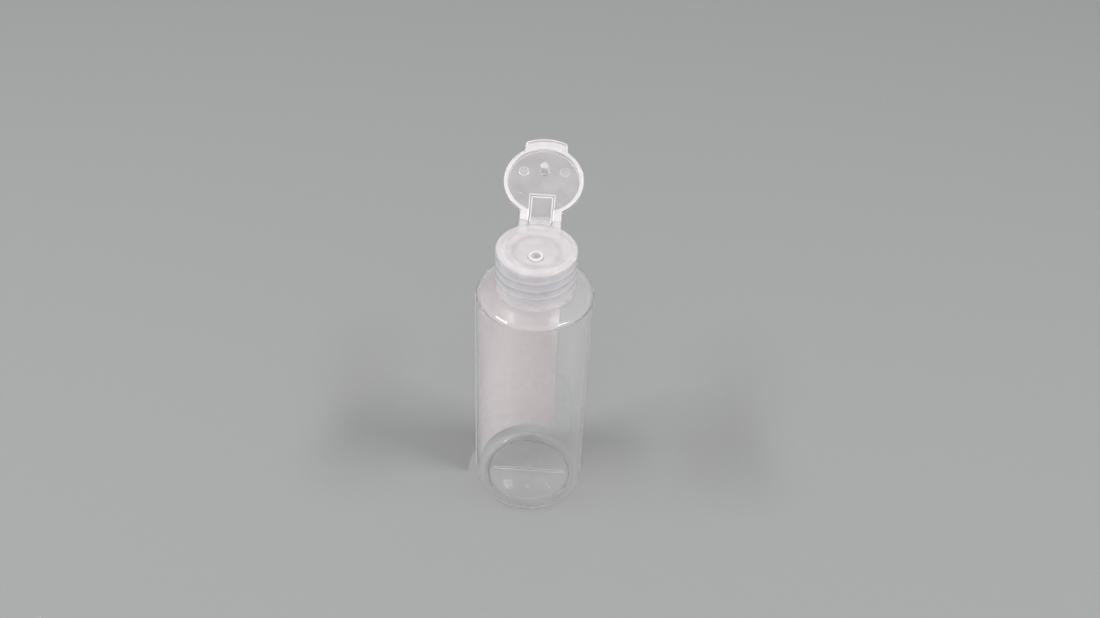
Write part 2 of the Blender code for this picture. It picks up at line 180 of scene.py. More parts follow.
def finishPiece(thing, material, body, node=None):
    thing.data.materials.clear()
    thing.data.materials.append(material)
    thing.data.shade_smooth()
    thing.data.set_sharp_from_angle(angle=smoothAngle)
    # flat faces stay flat beside their rounded edges
    step = thing.modifiers.new("step", "WEIGHTED_NORMAL")
    step.keep_sharp = True
    step.weight = faceWeight
    applyStep(thing)
    if body:
        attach(thing, body)
    if node:
        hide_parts(node)
    print("made", thing.name, len(thing.data.polygons), "faces")


threadMake = {
    "steps": 96,                  # in one turn
    "pitch": 2.73 * mm,
    "rootWidth": 1.5 * mm,
    "crestWidth": 0.6 * mm,
    "crestRound": 0.12 * mm,
    "flank": 0.369 * mm,
    "drop": 1.2 * mm,             # from the bottle's lip to the thread's upper end
    "sink": 0.3 * mm,             # into the wall
    "runout": 0.12,               # share of a turn over which an end sinks into the wall
    "runoutLeast": 0.02,
}


def threadRidge(wall, depth, top, turns, side):
    # a section spun up the helix, right-handed, its upper end at the front
    # side is 1 on the outside of a wall and -1 on the inside
    make = threadMake
    foot = wall - side * make["sink"]
    tip = wall + side * depth
    shoulder = tip - side * make["crestRound"]
    root = make["rootWidth"] / 2
    crest = make["crestWidth"] / 2 - make["crestRound"]
    section = [(foot, -root), (shoulder, make["flank"] - root), (tip, -crest),
               (tip, crest), (shoulder, root - make["flank"]), (foot, root)]
    rise = make["pitch"] * turns
    steps = round(turns * make["steps"])
    work = bmesh.new()
    face = work.faces.new([work.verts.new((radius, 0, top - rise + height)) for radius, height in section])
    startTurn = Matrix.Rotation(math.radians(-90) - math.tau * turns, 4, "Z")
    bmesh.ops.transform(work, matrix=startTurn, verts=work.verts)
    bmesh.ops.spin(work, geom=[face], cent=(0, 0, 0), axis=(0, 0, 1), dvec=(0, 0, rise / steps),
                   angle=math.tau * turns, steps=steps, use_merge=False, use_duplicate=False)
    # both ends run out into the wall
    least = make["runoutLeast"]
    for vert in work.verts:
        turn = (math.atan2(vert.co.y, vert.co.x) + math.pi / 2) / math.tau
        behind = round((top + make["pitch"] * turn - vert.co.z) / make["pitch"])
        done = turns + turn - behind
        share = min(1, max(least, done / make["runout"]), max(least, (turns - done) / make["runout"]))
        radius = math.hypot(vert.co.x, vert.co.y)
        vert.co.xy *= (foot + (radius - foot) * share) / radius
    bmesh.ops.recalc_face_normals(work, faces=work.faces)
    return work


bottleMake = {
    "steps": 160,
    "wall": 0.7 * mm,
    "wallRows": (0.2, 0.4, 0.6, 0.8),      # shares of the wall's height
    "shoulder": 81.4 * mm,
    "shoulderFillet": 1.6 * mm,
    "shoulderRise": 0.9 * mm,
    "heel": 2.9 * mm,
    "footWidth": 1.2 * mm,
    "footRound": 0.25 * mm,
    "footStart": 200,             # degrees, where the foot's inner edge starts to round
    "pushUp": 2.2 * mm,
    "pushUpEdge": 1.2 * mm,
    "pushUpSlope": 0.8 * mm,
    "slopeRows": (0.25, 0.5, 0.75),
    "slopePower": 1.5,
    "domeRows": 14,
    "baseThickness": 1.1 * mm,
    "neckRadius": 8.85 * mm,
    "neckWall": 1.35 * mm,
    "neckFillet": 0.8 * mm,
    "lipFillet": 0.35 * mm,
    "threadDepth": 1.0 * mm,
    "threadTurns": 2.25,
    "seamWidth": 0.6 * mm,
    "seamDepth": 0.4 * mm,
    "seamEdge": 0.12 * mm,
    "gateOffset": 7.5 * mm,
    "gateRadius": 0.7 * mm,
    "gateFlatness": 0.5,
}


def makeBottle(material):
    make = bottleMake
    radius = bottleHigh.x
    wall = make["wall"]
    footIn = radius - make["heel"] - make["footWidth"]
    pushUpRadius = footIn - make["pushUpSlope"]
    shoulderArc = (radius - make["shoulderFillet"], make["shoulder"] - make["shoulderFillet"])
    neck = make["neckRadius"]
    neckFoot = make["shoulder"] + make["shoulderRise"]
    neckStart = neck + make["neckFillet"]
    slant = 90 - math.degrees(math.atan2(make["shoulderRise"], shoulderArc[0] - neckStart))
    bore = neck - make["neckWall"]
    crown = make["pushUp"] - make["pushUpEdge"]
    innerEdge = make["pushUpEdge"] + make["baseThickness"]
    domeShares = [1 - i / make["domeRows"] for i in range(make["domeRows"] + 1)]
    dome = [(pushUpRadius * share, crown * (1 - share ** 2)) for share in domeShares]
    slope = [(pushUpRadius + make["pushUpSlope"] * share, 1 - share ** make["slopePower"])
             for share in make["slopeRows"]]
    rows = [make["shoulder"] * share for share in make["wallRows"]]

    # the outside, from the middle of the base up to the lip
    outline = [(r, make["pushUpEdge"] + z) for r, z in dome[::-1]]
    outline += [(r, make["pushUpEdge"] * share) for r, share in slope]
    footArc = (footIn + make["footRound"], make["footRound"])
    outline += arcPoints(footArc, make["footRound"], make["footStart"], 270, 4)
    outline += rounded((radius, 0), make["heel"], -90, 0, 20)
    outline += [(radius, z) for z in rows]
    outline += arcPoints(shoulderArc, make["shoulderFillet"], 0, slant, 14)
    outline += [((shoulderArc[0] + neckStart) / 2, (make["shoulder"] + neckFoot) / 2)]
    outline += rounded((neck, neckFoot), make["neckFillet"], -90, -180, 8)
    outline += rounded((neck, neckTop), make["lipFillet"], 0, 90, 6)
    # the inside, back down to the middle
    outline += rounded((bore, neckTop), make["lipFillet"], 90, 180, 6)
    outline += rounded((bore, neckFoot - wall), make["neckFillet"], 180, 270, 8)
    outline += arcPoints(shoulderArc, make["shoulderFillet"] - wall, slant, 0, 14)
    outline += [(radius - wall, z) for z in rows[::-1]]
    outline += rounded((radius - wall, wall), make["heel"] - wall, 0, -90, 16)
    outline += [(r, wall + (innerEdge - wall) * share) for r, share in slope[::-1]]
    outline += [(r, innerEdge + z) for r, z in dome]
    bottle = newObject("bottle_shell", spun(outline, make["steps"]))

    thread = threadRidge(neck, make["threadDepth"], neckTop - threadMake["drop"], make["threadTurns"], 1)
    seamReach = pushUpRadius - make["pushUpSlope"]
    seamFoot = make["pushUpEdge"] - make["seamDepth"]
    seam = drawn(block(-make["seamWidth"] / 2, make["seamWidth"] / 2, seamFoot, make["pushUp"]),
                 -seamReach, seamReach, edge=make["seamEdge"])
    gateHeight = make["pushUpEdge"] + crown * (1 - (make["gateOffset"] / pushUpRadius) ** 2)
    gate = flatBall(make["gateRadius"], make["gateFlatness"], (0, -make["gateOffset"], gateHeight), 24)
    combine(bottle, gathered(thread, seam, gate), "UNION")
    finishPiece(bottle, material, "bottle", "bottle")


labelMake = {
    "start": 66.5,                # degrees round the bottle from +X
    "end": 186.0,
    "gap": 0.03 * mm,
    "thickness": 0.12 * mm,
    "skew": 1.3 * mm,             # the label went on a little turned
    "rows": 24,
    "steps": 72,
}


def makeLabel(material):
    make = labelMake
    inner = bottleHigh.x + make["gap"]
    outer = inner + make["thickness"]
    start, sweep = make["start"], make["end"] - make["start"]
    rise = labelHigh.z - labelLow.z
    heights = [labelLow.z + rise * i / make["rows"] for i in range(make["rows"] + 1)]
    work = bmesh.new()
    verts = [work.verts.new((inner, 0, height)) for height in heights]
    verts += [work.verts.new((outer, 0, height)) for height in heights[::-1]]
    face = work.faces.new(verts)
    bmesh.ops.rotate(work, verts=work.verts, matrix=Matrix.Rotation(math.radians(start), 3, "Z"))
    bmesh.ops.spin(work, geom=[face], cent=(0, 0, 0), axis=(0, 0, 1), angle=math.radians(sweep),
                   steps=make["steps"], use_merge=False, use_duplicate=False)
    for vert in work.verts:
        turn = math.degrees(math.atan2(vert.co.y, vert.co.x)) % 360
        vert.co.z -= make["skew"] * ((turn - start) / sweep - 0.5)
    bmesh.ops.recalc_face_normals(work, faces=work.faces)
    label = newObject("label_sheet", work)
    finishPiece(label, material, "bottle", "back_label")


ringMake = {
    "steps": 96,
    "bore": 7.5 * mm,
    "edge": 0.12 * mm,
}


def makeRing(material):
    bore, edge = ringMake["bore"], ringMake["edge"]
    outline = rounded((bore, ringLow.z), edge, 180, 270, 3)
    outline += rounded((ringHigh.x, ringLow.z), edge, 270, 360, 3)
    outline += rounded((ringHigh.x, ringHigh.z), edge, 0, 90, 3)
    outline += rounded((bore, ringHigh.z), edge, 90, 180, 3)
    ring = newObject("seal_ring", spun(outline, ringMake["steps"]))
    finishPiece(ring, material, "seal", "sealing_ring")


capMake = {
    "steps": 300,                 # two for each rib
    "radius": 11.9 * mm,
    "wall": 1.6 * mm,
    "wallRows": (0.3, 0.6),       # shares of the height, from the top
    "boreRows": (0.35, 0.7),      # shares of the height, from the foot
    "top": 1.09 * mm,             # over the lid's hinge axis
    "topFillet": 0.45 * mm,
    "footFillet": 0.3 * mm,
    "boreFillet": 0.48 * mm,
    "cornerFillet": 0.3 * mm,
    "ribFoot": 83.4 * mm,
    "ribTop": 85.4 * mm,
    "ribRunout": 0.15 * mm,
    "ribDepth": 0.06 * mm,
    "threadDepth": 1.1 * mm,
    "threadTurns": 1.5,
    "deckDepth": 0.32 * mm,
    "deckThickness": 0.95 * mm,
    "deckRadius": 9.6 * mm,
    "deckSlope": 0.9 * mm,
    "deckLand": 0.15 * mm,        # kept flat on both sides of the slope
    "slopeRows": (0, 0.15, 0.3, 0.5, 0.7, 0.85, 1),
    "deckRow": 0.5,               # share of the flat deck's radius
    "undersideRow": 0.6,
    "spigotRadius": 7.2 * mm,
    "spigotWall": 0.9 * mm,
    "spigotEnd": 1.0 * mm,        # below the bottle's lip
    "spigotLead": (0.25 * mm, 0.4 * mm),   # outer chamfer, width and height
    "spigotEdge": 0.1 * mm,
    "spigotFillet": 0.2 * mm,
    "nozzleSteps": 64,
    "nozzleOffset": 3.6 * mm,
    "nozzleFoot": 2.5 * mm,
    "nozzleSink": 0.2 * mm,
    "nozzleFillet": 0.15 * mm,
    "nozzleRim": 1.65 * mm,
    "nozzleRound": 0.45 * mm,
    "nozzleHeight": 0.9 * mm,
    "orifice": 1.45 * mm,
    "orificeStep": 0.15 * mm,     # narrower below the deck
    "orificeSlope": 0.05 * mm,
    "orificeFlare": 0.3 * mm,
    "gateOffset": 6.1 * mm,
    "gateRadius": 0.45 * mm,
    "gateFlatness": 0.35,
}
hingeMake = {
    "tongueHalf": 3.3 * mm,
    "strapInner": 3.6 * mm,
    "strapOuter": 6.2 * mm,
    "plateGap": 0.1 * mm,         # from the axis to a plate's face
    "endGap": 0.12 * mm,          # from the axis to a plate's end
    "plateThickness": 1.2 * mm,
    "plateTaper": 0.9 * mm,
    "taperBend": (0.495 * mm, 0.25 * mm),
    "film": 0.3 * mm,
    "gusset": 2.6 * mm,
    "edge": 0.07 * mm,
}
capThreadTop = neckTop - threadMake["drop"] - threadMake["pitch"] / 2
capTop = lidAxis.z + capMake["top"]
deckFloor = capTop - capMake["deckDepth"]


def wallRoot(outer, inner, low, high):
    # where a plate between two places along x ends inside a round wall
    return (math.sqrt(outer ** 2 - high ** 2) + math.sqrt(inner ** 2 - low ** 2)) / 2


def hingePlate(axisHeight, low, high):
    make = hingeMake
    near, far = (0, high) if low < 0 < high else sorted((abs(low), abs(high)))
    root = wallRoot(capMake["radius"], capMake["radius"] - capMake["wall"], near, far)
    top = axisHeight - make["plateGap"]
    end = lidAxis.y - make["endGap"]
    foot = top - make["plateThickness"]
    bendIn, bendUp = make["taperBend"]
    outline = [(root, top), (end, top), (end, top - make["film"]), (end - bendIn, foot + bendUp),
               (end - make["plateTaper"], foot), (root, foot - make["gusset"])]
    return drawn(outline, low, high, edge=make["edge"])


def makeCap(material):
    make = capMake
    foot = capLow.z
    radius, footRadius = make["radius"], capHigh.x
    bore = radius - make["wall"]
    underside = deckFloor - make["deckThickness"]
    spigot = make["spigotRadius"]
    spigotFoot = neckTop - make["spigotEnd"]
    spigotBore = spigot - make["spigotWall"]
    leadWidth, leadHeight = make["spigotLead"]
    flat = make["deckRadius"] - make["deckSlope"]
    ribRows = (make["ribTop"], make["ribTop"] - make["ribRunout"],
               make["ribFoot"] + make["ribRunout"], make["ribFoot"])

    outline = [(0, deckFloor), (flat * make["deckRow"], deckFloor), (flat - make["deckLand"], deckFloor)]
    outline += [(flat + make["deckSlope"] * t, deckFloor + make["deckDepth"] * (3 * t * t - 2 * t * t * t))
                for t in make["slopeRows"]]
    outline += [(make["deckRadius"] + make["deckLand"], capTop)]
    outline += rounded((radius, capTop), make["topFillet"], 90, 0, 8)
    outline += [(radius + (footRadius - radius) * t, capTop + (foot - capTop) * t)
                for t in (*make["wallRows"], *((capTop - row) / (capTop - foot) for row in ribRows))]
    outline += rounded((footRadius, foot), make["footFillet"], 0, -90, 6)
    outline += rounded((bore, foot), make["boreFillet"], 270, 180, 6)
    outline += [(bore, foot + (underside - foot) * t) for t in make["boreRows"]]
    outline += rounded((bore, underside), make["cornerFillet"], 0, 90, 4)
    outline += rounded((spigot, underside), make["spigotFillet"], 90, 180, 3)
    outline += [(spigot, spigotFoot + leadHeight), (spigot - leadWidth, spigotFoot),
                (spigotBore + make["spigotEdge"], spigotFoot), (spigotBore, spigotFoot + make["spigotEdge"])]
    outline += rounded((spigotBore, underside), make["spigotFillet"], 0, 90, 3)
    outline += [(spigotBore * make["undersideRow"], underside), (0, underside)]
    shell = spun(outline, make["steps"])

    # every second column of the band over the foot stands out as a rib
    for vert in shell.verts:
        reach = math.hypot(vert.co.x, vert.co.y)
        column = round(math.atan2(vert.co.y, vert.co.x) / math.tau * make["steps"])
        inBand = ribRows[3] + mergeDistance < vert.co.z < ribRows[0] - mergeDistance
        if column % 2 and reach > radius and inBand:
            vert.co.xy *= 1 + make["ribDepth"] / reach
    cap = newObject("cap_shell", shell)

    thread = threadRidge(bore, make["threadDepth"], capThreadTop, make["threadTurns"], -1)
    nozzleTop = deckFloor + make["nozzleHeight"]
    nozzlePlace = (0, -make["nozzleOffset"])
    fillet, rim = make["nozzleFillet"], make["nozzleRound"]
    crown = [(0, deckFloor - make["nozzleSink"]), (make["nozzleFoot"], deckFloor - make["nozzleSink"]),
             (make["nozzleFoot"], deckFloor)]
    crown += arcPoints((make["nozzleFoot"], deckFloor + fillet), fillet, 270, 200, 3)
    crown += arcPoints((make["nozzleRim"], nozzleTop - rim), rim, 20, 90, 8)
    crown += [(0, nozzleTop)]
    nozzle = spun(crown, make["nozzleSteps"], nozzlePlace)
    gate = flatBall(make["gateRadius"], make["gateFlatness"], (0, make["gateOffset"], deckFloor), 20)
    plates = [hingePlate(lidAxis.z, side * hingeMake["strapInner"], side * hingeMake["strapOuter"])
              for side in (-1, 1)]
    plates.append(hingePlate(tongueAxis.z, -hingeMake["tongueHalf"], hingeMake["tongueHalf"]))
    combine(cap, gathered(thread, nozzle, gate, *plates), "UNION")

    hole, flare = make["orifice"], make["orificeFlare"]
    orifice = [(0, underside - overshoot), (hole - make["orificeStep"], underside - overshoot),
               (hole - make["orificeStep"], deckFloor), (hole, deckFloor + make["orificeSlope"])]
    orifice += arcPoints((hole + flare, nozzleTop - flare), flare, 180, 95, 6)
    orifice += [(hole + flare, nozzleTop + overshoot), (0, nozzleTop + overshoot)]
    combine(cap, spun(orifice, make["nozzleSteps"], nozzlePlace), "DIFFERENCE")
    finishPiece(cap, material, "cap", "cap_base")


# the lid is made as it lies when shut and then turned open
lidMake = {
    "steps": 128,
    "proud": 0.22 * mm,
    "seatGap": 0.1 * mm,
    "height": 2.0 * mm,
    "disc": 0.92 * mm,
    "discRow": 0.5,               # share of the radius
    "rim": 1.25 * mm,
    "topFillet": 0.5 * mm,
    "edgeRound": 0.2 * mm,
    "innerFillet": 0.3 * mm,
    "land": 0.2 * mm,             # kept flat beside a fillet
    "lugClearance": 0.3 * mm,
    "lugRise": 0.1 * mm,
    "lugOverlap": 0.05 * mm,
    "windowEdge": 10.06 * mm,     # in front of the hinge axis
    "pinSteps": 48,
    "pinLength": 4.2 * mm,
    "pinRadius": 1.25 * mm,
    "pinFoot": 1.5 * mm,
    "pinFootLength": 0.6 * mm,
    "pinFootEdge": 0.08 * mm,
    "pinFootSlope": 0.3 * mm,
    "pinSink": 0.2 * mm,
    "pinTip": 0.7 * mm,
    "pinTipRows": (1, 0.95, 0.85, 0.7, 0.5, 0.25, 0),
    "tabReach": 2.9 * mm,
    "tabHalf": 6.5 * mm,
    "tabCorner": 1.3 * mm,
    "tabPlate": 0.5 * mm,
    "tabLip": 0.55 * mm,
    "tabLipWidth": 0.6 * mm,
    "tabDrop": 0.3 * mm,
    "tabEdge": 0.1 * mm,
    "tabRoot": 0.75 * mm,         # inside the lid's edge
    "tabLipRoot": 1.0625 * mm,
    "ejectors": ((-6.3 * mm, -3.4 * mm), (6.2 * mm, -3.9 * mm)),
    "ejectorSteps": 40,
    "ejectorRadius": 1.45 * mm,
    "ejectorHeight": 0.08 * mm,
    "ejectorSide": 0.032 * mm,
    "ejectorEdge": 0.1 * mm,
    "ejectorSink": 0.1 * mm,
}
lidRadius = capMake["radius"] + lidMake["proud"]
lidEdge = capTop + lidMake["seatGap"]
lidTop = lidEdge + lidMake["height"]
lidFloor = lidTop - lidMake["disc"]
windowEdge = lidAxis.y - lidMake["windowEdge"]


def tabOutline(inset, rootDepth):
    make = lidMake
    reach = lidRadius + make["tabReach"] - inset
    half = make["tabHalf"] - inset
    corner = make["tabCorner"] - inset
    cornerX = half - corner
    cornerY = -math.sqrt((reach - corner) ** 2 - cornerX ** 2)
    swing = math.degrees(math.atan2(cornerY, cornerX))
    root = lidRadius - rootDepth
    side = math.degrees(math.acos(half / root))
    outline = arcPoints((-cornerX, cornerY), corner, 180, 180 - swing, 8)
    outline += arcPoints((0, 0), reach, -180 - swing, swing, 24)[1:-1]
    outline += arcPoints((cornerX, cornerY), corner, swing, 0, 8)
    return outline + arcPoints((0, 0), root, -side, side - 180, 24)


def lidLug(low, high):
    make = hingeMake
    face = lidAxis.z + make["plateGap"]
    end = lidAxis.y - make["endGap"]
    inner = capMake["radius"] + lidMake["lugClearance"]
    root = wallRoot(lidRadius, lidRadius - lidMake["rim"], *sorted((abs(low), abs(high))))
    underside = lidEdge + lidMake["lugRise"]
    top = lidTop - lidMake["topFillet"]
    outline = [(root, underside), (inner, underside), (inner, face), (end, face), (end, face + make["film"]),
               (end - make["plateTaper"], face + make["plateThickness"]), (lidRadius, top), (root, top)]
    return drawn(outline, low, high, edge=make["edge"])


def lidTab():
    # a plate with a lip along its three free sides
    make = lidMake
    top = lidTop - make["tabDrop"]
    plateFoot = top - make["tabPlate"]
    lipFoot = plateFoot - make["tabLip"]
    tab = newObject("tab", drawn(tabOutline(0, make["tabRoot"]), lipFoot, top, "z", make["tabEdge"]))
    hollow = tabOutline(make["tabLipWidth"], make["tabLipRoot"])
    combine(tab, drawn(hollow, lipFoot - overshoot, plateFoot, "z"), "DIFFERENCE")
    work = bmesh.new()
    work.from_mesh(tab.data)
    bpy.data.objects.remove(tab, do_unlink=True)
    return work


def lidPin():
    make = lidMake
    foot = lidFloor - make["pinFootLength"]
    end = lidFloor - make["pinLength"]
    pin = [(0, lidFloor + make["pinSink"]), (make["pinFoot"], lidFloor + make["pinSink"]),
           (make["pinFoot"], foot), (make["pinFoot"] - make["pinFootEdge"], foot - make["pinFootEdge"]),
           (make["pinRadius"], foot - make["pinFootSlope"])]
    pin += [(make["pinRadius"] * share, end + make["pinTip"] * (1 - math.sqrt(1 - share ** 2)))
            for share in make["pinTipRows"]]
    return spun(pin, make["pinSteps"], (0, -capMake["nozzleOffset"]))


def lidEjector(centre):
    make = lidMake
    radius = make["ejectorRadius"]
    foot = lidFloor - make["ejectorHeight"]
    outline = [(0, lidFloor + make["ejectorSink"]), (radius, lidFloor + make["ejectorSink"]),
               (radius, lidFloor - make["ejectorSide"]), (radius - make["ejectorEdge"], foot), (0, foot)]
    return spun(outline, make["ejectorSteps"], centre)


def makeLid(material):
    make = lidMake
    inner = lidRadius - make["rim"]
    edge, row = make["edgeRound"], make["discRow"]
    outline = [(0, lidTop), (lidRadius * row, lidTop), (lidRadius - make["topFillet"] - make["land"], lidTop)]
    outline += rounded((lidRadius, lidTop), make["topFillet"], 90, 0, 8)
    outline += rounded((lidRadius, lidEdge), edge, 0, -90, 4)
    outline += rounded((inner, lidEdge), edge, 270, 180, 4)
    outline += rounded((inner, lidFloor), make["innerFillet"], 0, 90, 5)
    flat = inner - make["innerFillet"] - make["land"]
    outline += [(flat, lidFloor), (inner * row, lidFloor), (0, lidFloor)]
    lid = newObject("lid_shell", spun(outline, make["steps"]))

    # the lugs reach a little into the window, whose cut then makes their inner sides
    half = hingeMake["strapInner"]
    lugs = [lidLug(side * (half - make["lugOverlap"]), side * hingeMake["strapOuter"]) for side in (-1, 1)]
    marks = [lidEjector(centre) for centre in make["ejectors"]]
    combine(lid, gathered(lidTab(), lidPin(), *lugs, *marks), "UNION")
    window = block(windowEdge, lidAxis.y + overshoot, lidAxis.z - overshoot, lidTop + overshoot)
    combine(lid, drawn(window, -half, half), "DIFFERENCE")
    lid.data.transform(opened)
    finishPiece(lid, material, "lid", "lid")


# the snap tongue lies in the lid's window when shut
tongueMake = {
    "thickness": 0.65 * mm,
    "inset": 0.1 * mm,
    "tipGap": 0.3 * mm,
    "web": 0.8 * mm,
    "kneeOffset": 0.5 * mm,
    "edge": 0.06 * mm,
}
tongueOuter = lidTop - tongueMake["inset"]
tongueTip = windowEdge + tongueMake["tipGap"]
tonguePivot = opened.inverted() @ tongueAxis


def makeTongue(material):
    make = tongueMake
    outer = tongueOuter
    inner = outer - make["thickness"]
    knee = Vector((lidRadius + make["kneeOffset"], (outer + inner) / 2))
    root = Vector((tonguePivot.y, tonguePivot.z))
    slope = (root - knee).normalized()
    across = Vector((-slope.y, slope.x)) * make["thickness"] / 2
    end = root - slope * hingeMake["endGap"]
    shoulder = end - slope * hingeMake["plateTaper"] / 2 - across
    webFoot = outer - hingeMake["film"]
    webEnd = tongueTip + make["web"]
    outline = [(tongueTip, outer), (tongueTip, webFoot), (webEnd, webFoot), (webEnd, inner),
               (knee.x - across.x / 2, inner), tuple(shoulder), tuple(end), tuple(end + across),
               (knee.x + across.x / 2, outer)]
    half = hingeMake["tongueHalf"]
    tongue = newObject("snap_tongue", drawn(outline, -half, half, edge=make["edge"]))
    tongue.data.transform(opened)
    finishPiece(tongue, material, "tongue", "hinge_tongue")


# the film hinges bend between the closure's plates and what turns on them
filmMake = {
    "thickness": 0.2 * mm,
    "overlap": 0.35 * mm,
    "steps": 10,
    "sink": 0.03 * mm,            # below the faces that it joins
    "sideInset": 0.05 * mm,
    "webInset": 0.02 * mm,
    "webStep": (0.1 * mm, 0.06 * mm),
}


def makeFilm(name, material, axis, low, high, way):
    # a strip from inside the plate to inside the child's root, centred on the stretch between them
    # way points from the axis along the child
    make = filmMake
    depth = hingeMake["plateGap"] + make["thickness"] / 2 + make["sink"]
    start = Vector((-hingeMake["endGap"], -depth))
    end = way * hingeMake["endGap"] + Vector((way.y, -way.x)) * depth
    path = [start + Vector((-make["overlap"], 0)), start]
    path += [start.lerp(end, i / make["steps"]) for i in range(1, make["steps"])]
    path += [end, end + way * make["overlap"]]
    above, below = [], []
    for i, point in enumerate(path):
        before, after = path[max(i - 1, 0)], path[min(i + 1, len(path) - 1)]
        along = (after - before).normalized()
        normal = Vector((-along.y, along.x)) * make["thickness"] / 2
        above.append(point + normal)
        below.append(point - normal)
    outline = [(axis.y + point.x, axis.z + point.y) for point in above + below[::-1]]
    film = newObject(name, drawn(outline, low, high))
    finishPiece(film, material, None)
    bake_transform(film)


def makeFilms(material):
    make = filmMake
    openWay = opened.to_3x3() @ Vector((0, -1, 0))
    lidWay = Vector((openWay.y, openWay.z))
    for name, side in (("film_left", -1), ("film_right", 1)):
        low, high = sorted((side * hingeMake["strapInner"], side * hingeMake["strapOuter"]))
        makeFilm(name, material, lidAxis, low + make["sideInset"], high - make["sideInset"], lidWay)
    knee = Vector((0, lidRadius + tongueMake["kneeOffset"], tongueOuter - tongueMake["thickness"] / 2))
    kneeWay = opened.to_3x3() @ (knee - tonguePivot)
    tongueWay = Vector((kneeWay.y, kneeWay.z)).normalized()
    half = hingeMake["tongueHalf"] - make["sideInset"]
    makeFilm("film_tongue", material, tongueAxis, -half, half, tongueWay)

    # the web at the tongue's tip goes with the lid
    top = tongueOuter - make["webInset"]
    low = top - make["thickness"]
    root = windowEdge - make["overlap"]
    stepIn, stepUp = make["webStep"]
    end = tongueTip + stepIn
    web = [(root, low), (tongueTip, low), (end, low + stepUp), (end, top), (root, top)]
    film = newObject("film_tip", drawn(web, -half, half))
    film.data.transform(opened)
    finishPiece(film, material, "lid")


def newMaterial(name):
    material = bpy.data.materials.new(name)
    material.use_nodes = True
    tree = material.node_tree
    return material, tree, tree.nodes["Principled BSDF"]


def plug(tree, socket, value):
    # links what another node gives, or sets a fixed number or colour on the socket itself
    if isinstance(value, bpy.types.NodeSocket):
        tree.links.new(value, socket)
    else:
        socket.default_value = (*value, 1) if socket.type == "RGBA" else value


def plugAll(tree, node, values):
    for name, value in values.items():
        plug(tree, node.inputs[name], value)


def objectCoords(tree, place=None, stretch=(1, 1, 1)):
    # object coordinates, brought back to the shut lid's place where a piece stands open
    coords = tree.nodes.new("ShaderNodeTexCoord")
    mapping = tree.nodes.new("ShaderNodeMapping")
    plugAll(tree, mapping, {"Vector": coords.outputs["Object"], "Scale": stretch})
    if place:
        plugAll(tree, mapping, {"Location": place.to_translation(), "Rotation": place.to_euler()})
    return mapping.outputs["Vector"]


def noise(tree, vector, size, detail=2.0, roughness=0.5):
    node = tree.nodes.new("ShaderNodeTexNoise")
    plugAll(tree, node, {"Vector": vector, "Scale": 1 / size, "Detail": detail, "Roughness": roughness})
    return node.outputs["Fac"]


def ranged(tree, value, source, target, smooth=False):
    node = tree.nodes.new("ShaderNodeMapRange")
    node.interpolation_type = "SMOOTHSTEP" if smooth else "LINEAR"
    plugAll(tree, node, {"Value": value, "From Min": source[0], "From Max": source[1],
                         "To Min": target[0], "To Max": target[1]})
    return node.outputs["Result"]


def bumped(tree, height, distance, strength, below=None):
    node = tree.nodes.new("ShaderNodeBump")
    plugAll(tree, node, {"Height": height, "Distance": distance, "Strength": strength})
    if below:
        plug(tree, node.inputs["Normal"], below)
    return node.outputs["Normal"]


def mixed(tree, factor, first, second):
    # a mix of two colours, or of two numbers where neither is given as a colour
    node = tree.nodes.new("ShaderNodeMix")
    inColour = isinstance(first, tuple) or isinstance(second, tuple)
    node.data_type = "RGBA" if inColour else "FLOAT"
    pair = node.inputs[6:8] if inColour else node.inputs[2:4]
    plug(tree, node.inputs[0], factor)
    plug(tree, pair[0], first)
    plug(tree, pair[1], second)
    return node.outputs[2 if inColour else 0]


def calculated(tree, operation, *values):
    node = tree.nodes.new("ShaderNodeMath")
    node.operation = operation
    for socket, value in zip(node.inputs, values):
        plug(tree, socket, value)
    return node.outputs[0]


def summed(tree, total, *others):
    for other in others:
        total = calculated(tree, "ADD", total, other)
    return total


def vectored(tree, operation, *values):
    node = tree.nodes.new("ShaderNodeVectorMath")
    node.operation = operation
    for socket, value in zip(node.inputs, values):
        plug(tree, socket, value)
    return node.outputs["Value" if operation in ("LENGTH", "DOT_PRODUCT") else "Vector"]


def separated(tree, vector):
    split = tree.nodes.new("ShaderNodeSeparateXYZ")
    plug(tree, split.inputs["Vector"], vector)
    return split.outputs


def radiusOf(tree, vector):
    return vectored(tree, "LENGTH", vectored(tree, "MULTIPLY", vector, (1, 1, 0)))


def letThrough(tree, shader, kinds, colour):
    # light on its way to what stands behind a wall passes it straight, tinted once for each face
    light = tree.nodes.new("ShaderNodeLightPath")
    clear = tree.nodes.new("ShaderNodeBsdfTransparent")
    plug(tree, clear.inputs["Color"], colour)
    surface = shader.outputs["BSDF"]
    for kind in kinds:
        mix = tree.nodes.new("ShaderNodeMixShader")
        for socket, value in zip(mix.inputs, (light.outputs[kind], surface, clear.outputs["BSDF"])):
            plug(tree, socket, value)
        surface = mix.outputs["Shader"]
    plug(tree, tree.nodes["Material Output"].inputs["Surface"], surface)


clearResinLook = {
    "clean": (0.995, 1.0, 0.998),
    "dusty": (0.975, 0.985, 0.982),
    "dustRange": (0.5, 0.8),
    "hazeSize": 5 * mm,
    "hazeRange": (0.35, 0.75),
    "roughness": (0.015, 0.05),
    "through": (0.965, 0.94),     # the rest is a white veil
    "baseClear": (0.04, 0),       # less of it in the base
    "baseFade": (3 * mm, 14 * mm),
    "waveSize": 9 * mm,
    "waveHeight": 0.003 * mm,
    "waveStrength": 0.6,
    "lineSize": 1.6 * mm,         # upright lines left by blowing
    "lineStretch": (1, 1, 0.08),
    "lineHeight": 0.003 * mm,
    "lineStrength": 0.35,
    "ior": 1.54,
    "passing": (0.955, 0.95, 0.952),
}


